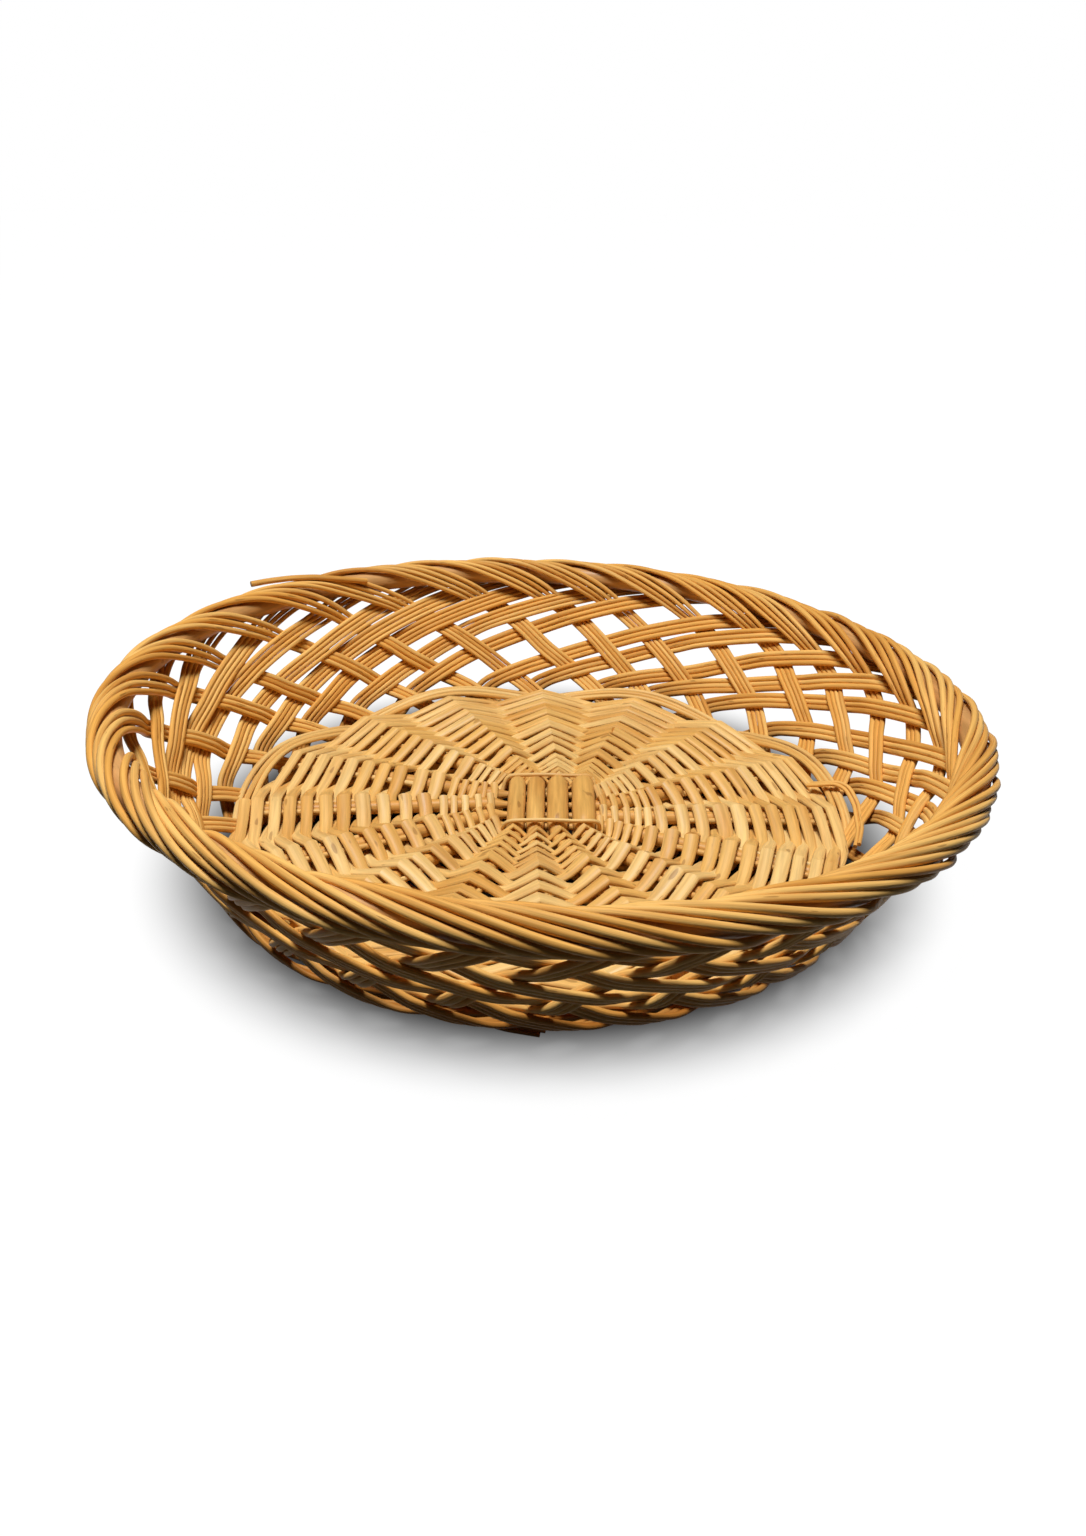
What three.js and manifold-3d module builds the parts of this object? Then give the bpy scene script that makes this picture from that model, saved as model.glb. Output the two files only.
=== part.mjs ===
// Round reed basket: a pierced stick base with a paired weave, an open lattice wall of rod bundles,
// a rolled rim over a hoop and a foot ring. Millimetres, +Z up, the basket stands on z = 0.
import * as THREE from "three";
import { mergeVertices } from "three/addons/utils/BufferGeometryUtils.js";
import Module from "manifold-3d";

// Main sizes.
const rimRadius = 150; // centre line of the rim hoop
const rimHeight = 63.1; // mean height of that centre line
const rimTilt = 4.1; // the hand-made rim stands this much higher on one side
const tiltTowards = 193; // degrees, the high side
const wallFootRadius = 118.9; // where the wall turns up
const fit = 0.35; // clearance between pieces that lie on each other

// Foot ring, set in from the foot of the wall.
const footHeight = 8;
const footWidth = 14;
const footInset = 8.4;

// Wall bundles, each of rods laid side by side.
const stakeCount = 27;
const rodsPerStake = 3;
const rodThickness = 2.2;
const levelStep = 0.122; // share of the wall height between two crossings
const downSweep = 34; // degrees a bundle turns on its way down from the rim
const overSweep = 28.6; // degrees it turns while it rolls over the rim
const downInside = [1, -1, 1, 1, -1, -1, 1]; // bundle inside at each crossing level, +1 the falling one
const hoopRadius = 4.6; // half the thickness of the rim hoop
const rimGap = 2.4; // gap between neighbouring bundles, along the rim

// Base.
const raysPerStick = 2;
const sticksPerSide = 4;
const rayTurn = 11.75; // degrees the rays swing round on their way out from the crossed sticks
const slathRight = 3.3; // the crossed sticks lie this far off the basket's middle
const slathBack = 2;
const stickPitch = 8.3; // spacing of the sticks where they cross
const stickHeight = 7; // height of a slit stick where it is pierced
const slotHeight = 2.7;
const stickTaper = 3.4; // length in which a stick narrows to a ray
const rayThickness = 2.6;
const bindingThickness = 1.5;
const edgeGap = 9.9; // from the last row of the base weave to the foot of the wall
const rowStart = 5; // spacing of the rows that show on a ray, beside the crossed sticks
const rowInner = 7.2; // the same where the thick rods begin
const rowOuter = 5; // the same at the edge
const thickFrom = 40; // radius where the thick rods begin
const weaverStart = 1.6; // weaver thickness beside the crossed sticks
const weaverFull = 2.5;

const rad = Math.PI / 180;
const stakeWidth = rodsPerStake * rodThickness;
const spacing = 360 / stakeCount;
const legSum = spacing / levelStep; // degrees of a rising and a falling leg together
const upSweep = legSum - downSweep;
const levelCount = downInside.length;
const firstLevel = 1 + overSweep / legSum - (levelCount + 2) * levelStep;
const rootHeight = footHeight + fit + rodThickness / 2;
const layer = (rodThickness + fit) / 2 + 0.05; // a bundle's distance from the wall surface at a crossing
const rollRadius = hoopRadius + fit + 0.2 + rodThickness / 2;
const rise = rimHeight - rootHeight;
const flare = rimRadius - wallFootRadius;
const slant = Math.hypot(rise, flare);
const leanAngle = Math.atan2(flare, rise) / rad;
const footOuter = wallFootRadius - footInset;
const footInner = footOuter - footWidth;
const rayCount = 2 * sticksPerSide * raysPerStick;

// Share of the lattice spacing that a leg's bundle fills, from its real width and its slope.
function shareOf(sweep) {
  const turned = sweep * rad * (wallFootRadius + flare / 2);
  const apart = (spacing / sweep) * turned * Math.sin(Math.atan2(slant, turned));
  return Math.min(0.8, stakeWidth / apart);
}
const upShare = shareOf(upSweep);
const downShare = shareOf(downSweep);

const group = new THREE.Group();
const straw = [0xd9ad63, 0xcf9c50, 0xe0b871, 0xc8934a];

function polar(radius, degrees, z) {
  return new THREE.Vector3(radius * Math.cos(degrees * rad), radius * Math.sin(degrees * rad), z);
}

// Closed solid through sections with equal point counts; a ring joins its last section to its first.
function loft(sections, ring = false) {
  const count = sections[0].length;
  const points = sections.flat().flatMap((p) => [p.x, p.y, p.z]);
  const faces = [];
  const steps = ring ? sections.length : sections.length - 1;
  for (let i = 0; i < steps; i++) {
    const next = (i + 1) % sections.length;
    for (let k = 0; k < count; k++) {
      const a = i * count + k;
      const b = i * count + ((k + 1) % count);
      const c = next * count + ((k + 1) % count);
      const d = next * count + k;
      faces.push(a, b, c, a, c, d);
    }
  }
  if (!ring) {
    const last = (sections.length - 1) * count;
    for (let k = 1; k < count - 1; k++) {
      faces.push(0, k + 1, k);
      faces.push(last, last + k, last + k + 1);
    }
  }
  return facedOut(points, faces);
}

// Geometry with every face turned so that the solid has a positive volume.
function facedOut(points, faces) {
  let volume = 0;
  const at = (i) => new THREE.Vector3().fromArray(points, i * 3);
  for (let i = 0; i < faces.length; i += 3)
    volume += at(faces[i]).dot(at(faces[i + 1]).cross(at(faces[i + 2])));
  if (volume < 0)
    for (let i = 0; i < faces.length; i += 3) [faces[i], faces[i + 1]] = [faces[i + 1], faces[i]];
  const geometry = new THREE.BufferGeometry();
  geometry.setAttribute("position", new THREE.Float32BufferAttribute(points, 3));
  geometry.setIndex(faces);
  geometry.computeVertexNormals();
  return geometry;
}

function add(name, geometry, color) {
  const material = new THREE.MeshStandardMaterial({ color, roughness: 0.6, metalness: 0 });
  const mesh = new THREE.Mesh(geometry, material);
  mesh.name = name;
  group.add(mesh);
  return mesh;
}

function rimZ(degrees) {
  return rimHeight + rimTilt * Math.cos((degrees - tiltTowards) * rad);
}

// Point of the wall at a share of its height, moved towards the inside by inset.
function wallPoint(degrees, share, inset) {
  const radius = wallFootRadius + flare * share - (inset * rise) / slant;
  const z = rootHeight + (rimZ(degrees) - rootHeight) * share + (inset * flare) / slant;
  return polar(radius, degrees, z);
}

// Point of the roll round the hoop; turn 0 is the outside, 90 the top.
function rollPoint(degrees, turn, distance) {
  const radius = rimRadius + distance * Math.cos(turn * rad);
  return polar(radius, degrees, rimZ(degrees) + distance * Math.sin(turn * rad));
}

// Section of a bundle: a flat lens across it, from a function of place across and place through.
function lens(at) {
  const half = rodThickness / 2;
  const side = 0.82;
  return [at(-1, 0), at(-side, half), at(side, half), at(1, 0), at(side, -half), at(-side, -half)];
}

// Heights along a leg where its section changes, with the side it lies on, from the base up.
function legStations(crossedShare, halfway) {
  const gap = 0.45 * (1 - crossedShare);
  const stations = [];
  for (let level = 0; level < levelCount - 1; level++) {
    const here = downInside[level];
    const above = downInside[level + 1];
    if (here === above && halfway) stations.push([level + 0.5, here]);
    if (here !== above)
      stations.push([level + 0.5 - gap, here], [level + 0.5 + gap, above]);
  }
  return stations.map(([level, side]) => [firstLevel + level * levelStep, side]);
}

// One bundle: root under the base, rising leg, roll over the rim, falling leg.
function stakeGeometry(index) {
  const start = index * spacing;
  const sections = [];
  const upCentre = (share) => start - upSweep * share;
  const downCentre = (share) => start - upSweep - overSweep - downSweep * (1 - share);
  const upHalf = (upShare * spacing) / 2;
  const downHalf = (downShare * spacing) / 2;
  const rimHalf = (spacing - rimGap / rimRadius / rad) / 2;

  // A leg's section follows the crossing bundles low down and lies level near the rim.
  const rising = (share, inset, half, follow) =>
    lens((q, through) => {
      const across = q * half;
      const lift = (across / legSum) * follow;
      return wallPoint(upCentre(share) + across - upSweep * lift, share + lift, inset + through);
    });
  const falling = (share, inset, half, follow) =>
    lens((q, through) => {
      const across = q * half;
      const lift = (-across / legSum) * follow;
      return wallPoint(downCentre(share) + across + downSweep * lift, share + lift, inset - through);
    });

  // The root lies on the foot ring; a falling leg ends above it, behind the edge of the base.
  const rootHalf = stakeWidth / 2 / footOuter / rad;
  for (const radius of [footInner, footOuter])
    sections.push(lens((q, through) => polar(radius, start + q * rootHalf, rootHeight + through)));
  const bend = 0.045;
  sections.push(rising(bend, -layer, (rootHalf + upHalf) / 2, 0));

  for (const [share, side] of legStations(downShare, true))
    sections.push(rising(share, -side * layer, upHalf, 1));
  const near = 0.94; // where a leg has swung out to clear the hoop
  const nearInset = layer + 0.85 * (rollRadius - layer);
  sections.push(rising(near, -nearInset, (upHalf + rimHalf) / 2, 0.3));
  const rollSteps = 5;
  for (let step = 0; step <= rollSteps; step++) {
    const part = step / rollSteps;
    const turn = -leanAngle + 180 * part;
    const centre = start - upSweep - overSweep * part;
    sections.push(
      lens((q, through) => rollPoint(centre + q * rimHalf, turn, rollRadius - through)),
    );
  }
  sections.push(falling(near, nearInset, (downHalf + rimHalf) / 2, 0.3));
  for (const [share, side] of legStations(upShare, false).reverse())
    sections.push(falling(share, side * layer, downHalf, 1));
  sections.push(falling(2 * bend, layer, downHalf, 1));
  return loft(sections);
}

for (let index = 0; index < stakeCount; index++)
  add("stake_" + String(index + 1).padStart(2, "0"), stakeGeometry(index), straw[index % 4]);

// Ring of a constant section given as radius and height pairs.
function ringGeometry(outline, steps) {
  const sections = [];
  for (let step = 0; step < steps; step++) {
    const degrees = (360 * step) / steps;
    sections.push(outline(degrees).map(([radius, z]) => polar(radius, degrees, z)));
  }
  return loft(sections, true);
}

const hoopSides = 6;
const hoopOutline = (degrees) =>
  Array.from({ length: hoopSides }, (_, k) => {
    const turn = ((k + 0.5) * 2 * Math.PI) / hoopSides;
    return [rimRadius + hoopRadius * Math.cos(turn), rimZ(degrees) + hoopRadius * Math.sin(turn)];
  });
add("rim_hoop", ringGeometry(hoopOutline, 2 * stakeCount), 0xb98b4f);

// Foot ring with a flat underside and a flat top that carries the bundle roots.
const footOutline = () => [
  [footInner + 2.5, 0],
  [footOuter - 2.5, 0],
  [footOuter, footHeight * 0.45],
  [footOuter - 1.5, footHeight],
  [footInner + 1.5, footHeight],
  [footInner, footHeight * 0.45],
];
add("foot_ring", ringGeometry(footOutline, 48), 0xb5833f);

// Binding and base weave. Each row is one turn of a weaver, and rods thicken outwards.
const slathHalf = (sticksPerSide * stickPitch) / 2;
const armStart = slathHalf + stickTaper;
const slathCorner = Math.hypot(((sticksPerSide - 1) / 2) * stickPitch, armStart);
const bindingRadius = slathCorner + bindingThickness + 2 * fit;
const weaveStart = bindingRadius + (bindingThickness + weaverStart) / 2 + fit;
const weaveEnd = wallFootRadius - edgeGap;
const between = (from, to, share) => from + (to - from) * Math.min(1, Math.max(0, share));
function rowAt(radius) {
  if (radius < thickFrom) return rowStart;
  return between(rowInner, rowOuter, (radius - thickFrom) / (weaveEnd - thickFrom));
}
function weaverAt(radius) {
  const tall = between(weaverStart, weaverFull, (radius - weaveStart) / (thickFrom - weaveStart));
  return { tall, wide: Math.min(tall, rowAt(radius) / 2 - fit) };
}

// Height of a weaver over a ray that lets its sloping run to the next ray clear this one.
function standOff(radius) {
  const { tall, wide } = weaverAt(radius);
  const clear = (rayThickness * Math.SQRT2) / 2 + Math.hypot(tall, wide) / 2 + fit;
  const gap = (2 * Math.PI * radius) / rayCount;
  return clear / Math.sqrt(1 - Math.min(0.8, (2 * clear) / gap) ** 2);
}
const baseHeight = rootHeight + rodThickness / 2 + fit + standOff(weaveEnd) + weaverFull / 2;

// A ray is straight, from the crossed sticks to its even place at the edge of the base.
const slathCentre = new THREE.Vector3(slathRight, slathBack, 0);
const upright = new THREE.Vector3(0, 0, 1);
function rayLine(n) {
  const side = Math.floor((n + sticksPerSide / 2) / sticksPerSide);
  const place = (sticksPerSide - 1) / 2 - (n - side * sticksPerSide + sticksPerSide / 2);
  const begin = new THREE.Vector3(place * stickPitch, armStart, 0);
  begin.applyAxisAngle(upright, (side * Math.PI) / 2).add(slathCentre);
  const end = polar(weaveEnd, rayTurn + 90 + (n + 0.5) * (360 / rayCount), 0);
  return { begin, end };
}

// The rows go round the crossed sticks at first and round the basket's middle at the edge.
function rowCentre(radius) {
  const out = between(0, 1, (radius - bindingRadius) / (weaveEnd - bindingRadius));
  return slathCentre.clone().multiplyScalar(1 - out * out * (3 - 2 * out));
}

// Section of a weaver where its row crosses a ray.
function crossSection(n, radius, z, wide, tall) {
  const { begin, end } = rayLine(n);
  const centre = rowCentre(radius);
  const along = end.sub(begin).normalize();
  const from = begin.clone().sub(centre);
  const half = from.dot(along);
  const far = -half + Math.sqrt(half * half - from.lengthSq() + radius * radius);
  const out = from.addScaledVector(along, far).normalize();
  return [[-1, -1], [1, -1], [1, 1], [-1, 1]].map(([u, v]) => {
    const corner = centre.clone().addScaledVector(out, radius + (u * wide) / 2);
    return corner.setZ(z + (v * tall) / 2);
  });
}

// Weaver path: one point above or below each ray, the second weaver half a turn ahead.
function weaverGeometry(second) {
  const sections = [];
  let radius = weaveStart;
  if (second) for (let k = 0; k < rayCount / 2; k++) radius += rowAt(radius) / rayCount;
  for (let n = 0; radius <= weaveEnd; n++) {
    const over = n % 2 === (second ? 1 : 0) ? 1 : -1;
    const { tall, wide } = weaverAt(radius);
    sections.push(crossSection(n, radius, baseHeight + over * standOff(radius), wide, tall));
    radius += rowAt(radius) / rayCount;
  }
  return loft(sections);
}
add("weaver_a", weaverGeometry(false), 0xe3c07e);
add("weaver_b", weaverGeometry(true), 0xdab56f);

// The binding runs over the four slit sticks and under the four that pass through them.
const bindingSections = Array.from({ length: rayCount }, (_, n) => {
  const over = Math.floor((n + sticksPerSide / 2) / sticksPerSide) % 2 === 0 ? 1 : -1;
  const lift = (rayThickness + bindingThickness) / 2 + 2 * fit;
  const z = baseHeight + over * lift;
  return crossSection(n, bindingRadius, z, bindingThickness, bindingThickness);
});
add("slath_binding", loft(bindingSections, true), 0xe6c88c);

// Base sticks: a flat middle where they cross and two arms that fan out as rays.
function stickGeometry(order, midHeight, side) {
  const box = (spot, dir, wide, tall) =>
    [[-1, -1], [1, -1], [1, 1], [-1, 1]].map(([u, v]) => {
      const across = new THREE.Vector3(dir.y, -dir.x, 0);
      return spot.clone().addScaledVector(across, (u * wide) / 2).setZ((v * tall) / 2);
    });
  const axis = new THREE.Vector3(0, 1, 0).applyAxisAngle(upright, (side * Math.PI) / 2);
  const first = side * sticksPerSide - sticksPerSide / 2;
  const arm = (n, forward) => {
    const { begin, end } = rayLine(n);
    const along = end.clone().sub(begin).normalize().multiplyScalar(forward);
    const taper = (armStart - slathHalf - 2 * fit) * forward;
    return [
      box(begin.clone().addScaledVector(axis, -taper), axis, stickPitch - 2 * fit, midHeight),
      box(begin, along, rayThickness, rayThickness),
      box(end, along, rayThickness, rayThickness),
    ];
  };
  const opposite = arm(first + 2 * sticksPerSide + order, -1);
  return loft([...opposite.reverse(), ...arm(first + sticksPerSide - 1 - order, 1)]);
}

const wasm = await Module();
wasm.setup();
function solidOf(geometry) {
  return new wasm.Manifold(
    new wasm.Mesh({
      numProp: 3,
      vertProperties: geometry.getAttribute("position").array,
      triVerts: new Uint32Array(geometry.index.array),
    }),
  );
}
function geometryOf(solid) {
  const mesh = solid.getMesh();
  const geometry = new THREE.BufferGeometry();
  geometry.setAttribute("position", new THREE.BufferAttribute(mesh.vertProperties, 3));
  geometry.setIndex(new THREE.BufferAttribute(mesh.triVerts, 1));
  geometry.computeVertexNormals();
  return geometry;
}

// One set of sticks is slit along the middle and the other set passes through the slits.
const slotBox = new THREE.BoxGeometry(2 * slathHalf, 2 * slathHalf + 2 * fit, slotHeight);
slotBox.deleteAttribute("normal");
slotBox.deleteAttribute("uv");
slotBox.translate(slathRight, slathBack, 0);
const slot = solidOf(mergeVertices(slotBox));
for (let order = 0; order < sticksPerSide; order++) {
  const slit = geometryOf(solidOf(stickGeometry(order, stickHeight, 0)).subtract(slot));
  const slitStick = add("slit_stick_" + (order + 1), slit, 0xdfb978);
  slitStick.position.z = baseHeight;
  const through = stickGeometry(order, slotHeight - 2 * fit, 1);
  const throughStick = add("through_stick_" + (order + 1), through, 0xd6ad68);
  throughStick.position.z = baseHeight;
}

export default group;
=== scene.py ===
import bpy
import math
import random
from mathutils import Matrix, Vector


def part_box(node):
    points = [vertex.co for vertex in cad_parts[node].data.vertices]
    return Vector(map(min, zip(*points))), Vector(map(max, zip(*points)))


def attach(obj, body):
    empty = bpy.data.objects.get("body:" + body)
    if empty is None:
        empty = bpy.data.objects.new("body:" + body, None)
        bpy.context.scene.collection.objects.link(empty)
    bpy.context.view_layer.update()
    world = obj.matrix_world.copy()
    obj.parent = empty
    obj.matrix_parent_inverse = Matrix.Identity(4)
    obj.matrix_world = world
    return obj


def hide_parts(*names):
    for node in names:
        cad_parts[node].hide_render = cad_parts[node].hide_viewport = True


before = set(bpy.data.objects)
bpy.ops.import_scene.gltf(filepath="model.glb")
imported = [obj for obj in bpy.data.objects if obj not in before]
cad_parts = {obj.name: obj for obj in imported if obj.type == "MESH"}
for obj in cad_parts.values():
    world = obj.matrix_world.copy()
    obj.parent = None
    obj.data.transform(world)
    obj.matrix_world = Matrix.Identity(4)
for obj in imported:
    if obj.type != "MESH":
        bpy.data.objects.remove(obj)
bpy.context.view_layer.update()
print("frame loaded:", len(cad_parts), "CAD nodes")

mm = 0.001  # the sizes below are in millimetres, as in the part's source

basket = {
    "rimRadius": 150.0,
    "rimHeight": 63.1,
    "rimTilt": 4.1,
    "tiltTowards": 193.0,
    "wallFoot": 118.9,
    "rootHeight": 9.45,
    "sunk": 0.037,  # the lattice has settled a little towards the foot
    "stakes": 27,
}
rise = basket["rimHeight"] - basket["rootHeight"]
flare = basket["rimRadius"] - basket["wallFoot"]
slant = math.hypot(rise, flare)
leanAngle = math.degrees(math.atan2(flare, rise))
spacing = 360 / basket["stakes"]


# where things are on the basket

def polar(radius, degrees, z):
    a = math.radians(degrees)
    return Vector((radius * math.cos(a), radius * math.sin(a), z))


def rimZ(degrees):
    towards = math.radians(degrees - basket["tiltTowards"])
    return basket["rimHeight"] + basket["rimTilt"] * math.cos(towards)


def wallSpot(degrees, share, inset):  # share 0 at the base, 1 at the rim; inset towards the inside
    share -= basket["sunk"] * (1 - share)
    radius = basket["wallFoot"] + flare * share - inset * rise / slant
    root = basket["rootHeight"]
    return polar(radius, degrees, root + (rimZ(degrees) - root) * share + inset * flare / slant)


def rollSpot(degrees, turn, distance):  # turn 0 is outside the hoop, 90 on top
    a = math.radians(turn)
    radius = basket["rimRadius"] + distance * math.cos(a)
    return polar(radius, degrees, rimZ(degrees) + distance * math.sin(a))


def ease(x):
    x = min(1, max(0, x))
    return x * x * (3 - 2 * x)


def easeFrom(x, start):  # 0 up to start, 1 at 1
    return ease((x - start) / (1 - start))


def mix(a, b, x):
    return a + (b - a) * x


# rods are drawn as curves and turned into meshes

def evenly(points, step):
    lengths = [0]
    for a, b in zip(points, points[1:]):
        lengths.append(lengths[-1] + (b - a).length)
    count = max(2, round(lengths[-1] / step))
    spots, k = [], 0
    for i in range(count + 1):
        want = lengths[-1] * i / count
        while k < len(points) - 2 and lengths[k + 1] < want:
            k += 1
        gap = lengths[k + 1] - lengths[k]
        spots.append(points[k].lerp(points[k + 1], (want - lengths[k]) / gap if gap else 0))
    return spots


def relax(points, passes, closed=False):
    n = len(points)
    for _ in range(passes):
        ends = (points[0], points[-1])
        points = [points[i - 1] * 0.25 + points[i] * 0.5 + points[(i + 1) % n] * 0.25
                  for i in range(n)]
        if not closed:
            points[0], points[-1] = ends
    return points


# radius and the painted shade towards the foot are one number, or one for each point
def newRod(points, radius, tone, closed=False, footshade=0):
    radii = radius if isinstance(radius, list) else [radius] * len(points)
    footShaded = footshade if isinstance(footshade, list) else [footshade] * len(points)
    return {"points": points, "radii": radii, "tone": tone, "closed": closed, "footshade": footShaded}


def layRods(name, rods, sides=10, profile=None, twist="MINIMUM", crease=50):
    bpy.ops.object.select_all(action="DESELECT")
    bpy.ops.curve.primitive_nurbs_path_add()
    drawn = bpy.context.object
    drawn.name = name
    curve = drawn.data
    curve.splines.clear()
    curve.dimensions = "3D"
    curve.twist_mode = twist
    if profile:
        curve.bevel_mode = "OBJECT"
        curve.bevel_object = profile
        sides = len(profile.data.splines[0].points)
    else:
        curve.bevel_depth = mm
        curve.bevel_resolution = (sides - 4) // 2
    for rod in rods:
        spline = curve.splines.new("POLY")
        spline.points.add(len(rod["points"]) - 1)
        places = [v for p in rod["points"] for v in (p.x * mm, p.y * mm, p.z * mm, 1)]
        spline.points.foreach_set("co", places)
        spline.points.foreach_set("radius", rod["radii"])
        spline.use_cyclic_u = rod["closed"]
        spline.use_smooth = True
    bpy.ops.object.convert(target="MESH")
    piece = bpy.context.object
    piece.name = name
    markRods(piece, rods, sides)
    bpy.ops.object.mode_set(mode="EDIT")
    bpy.ops.mesh.select_all(action="SELECT")
    bpy.ops.mesh.fill_holes(sides=0)  # cut ends
    bpy.ops.mesh.normals_make_consistent(inside=False)
    bpy.ops.object.mode_set(mode="OBJECT")
    bpy.ops.object.shade_smooth_by_angle(angle=math.radians(crease))
    return piece


# the grain follows each rod by its length, its turn and its own tone; each point also carries how much
# painted shade darkens it towards the foot
def markRods(piece, rods, sides):
    along, tone, turn, footshade = [], [], [], []
    for rod in rods:
        travelled = 0
        for i, p in enumerate(rod["points"]):
            if i:
                travelled += (p - rod["points"][i - 1]).length * mm
            along += [travelled] * sides
            tone += [rod["tone"]] * sides
            footshade += [rod["footshade"][i]] * sides
            for k in range(sides):
                a = 2 * math.pi * k / sides
                turn += [math.cos(a), math.sin(a), 0]
    mesh = piece.data
    if len(mesh.vertices) != len(tone):
        print("rings out of step on", piece.name, len(mesh.vertices), len(tone))
    mesh.attributes.new("along", "FLOAT", "POINT").data.foreach_set("value", along)
    mesh.attributes.new("tone", "FLOAT", "POINT").data.foreach_set("value", tone)
    mesh.attributes.new("footshade", "FLOAT", "POINT").data.foreach_set("value", footshade)
    mesh.attributes.new("turn", "FLOAT_VECTOR", "POINT").data.foreach_set("vector", turn)


def flatProfile(wide, tall, sides):  # an oval whose sides turn by even steps
    bpy.ops.object.select_all(action="DESELECT")
    bpy.ops.curve.primitive_nurbs_path_add()
    profile = bpy.context.object
    curve = profile.data
    curve.splines.clear()
    curve.dimensions = "2D"
    curve.fill_mode = "NONE"
    spline = curve.splines.new("POLY")
    spline.points.add(sides - 1)
    for k, spot in enumerate(spline.points):
        a = 2 * math.pi * (k + 0.5) / sides
        reach = math.hypot(wide * math.cos(a), tall * math.sin(a))
        x, y = wide ** 2 * math.cos(a) / reach / 2, tall ** 2 * math.sin(a) / reach / 2
        spot.co = (x * mm, y * mm, 0, 1)
    spline.use_cyclic_u = True
    return profile


def finishPiece(piece, material, slot, *nodes):
    piece.data.materials.clear()
    piece.data.materials.append(material)
    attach(piece, "root")
    if nodes:
        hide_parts(*nodes)


# peeled reed: long fibres, slow colour changes along a rod, and a few small scars

reedLook = {
    "fibreLength": 0.018,  # metres along a rod
    "fibresRound": 3.4,
    "fibreRange": (0.3, 0.7),  # of the noise
    "fibreShade": (0.8, 1.1),
    "rough": (0.36, 0.56),
    "mottleLength": 0.07,
    "mottleRound": 0.45,
    "mottleRange": (0.42, 0.72),
    "mottleMost": 0.75,
    "scarLength": 0.007,
    "scarsRound": 1.6,
    "scarRange": (0.78, 0.83),
    "scarMost": 0.5,
    "scarColour": (0.22, 0.075, 0.014, 1),
    "bump": 0.4,
    "bumpHeight": 0.0002,
    "footShaded": (0.52, 0.40, 0.30, 1),  # painted shade: what is left of the colour where the outside is darkest, at the foot
}


def addNode(tree, kind, place, **settings):
    node = tree.nodes.new(kind)
    node.location = place
    for key, value in settings.items():
        setattr(node, key, value)
    return node


def mathNode(tree, place, operation, a, b):
    node = addNode(tree, "ShaderNodeMath", place, operation=operation)
    for socket, value in zip(node.inputs, (a, b)):
        if isinstance(value, (int, float)):
            socket.default_value = value
        else:
            tree.links.new(value, socket)
    return node.outputs[0]


def mapNode(tree, place, value, fromLow, fromHigh, toLow, toHigh):
    node = addNode(tree, "ShaderNodeMapRange", place)
    tree.links.new(value, node.inputs[0])
    for socket, number in zip(node.inputs[1:5], (fromLow, fromHigh, toLow, toHigh)):
        socket.default_value = number
    return node.outputs[0]


def mixColour(tree, place, factor, a, b, blend="MIX"):
    node = addNode(tree, "ShaderNodeMix", place, data_type="RGBA", blend_type=blend)
    for socket, value in ((node.inputs[0], factor), (node.inputs[6], a), (node.inputs[7], b)):
        if isinstance(value, (int, float, tuple)):
            socket.default_value = value
        else:
            tree.links.new(value, socket)
    return node.outputs[2]


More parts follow.
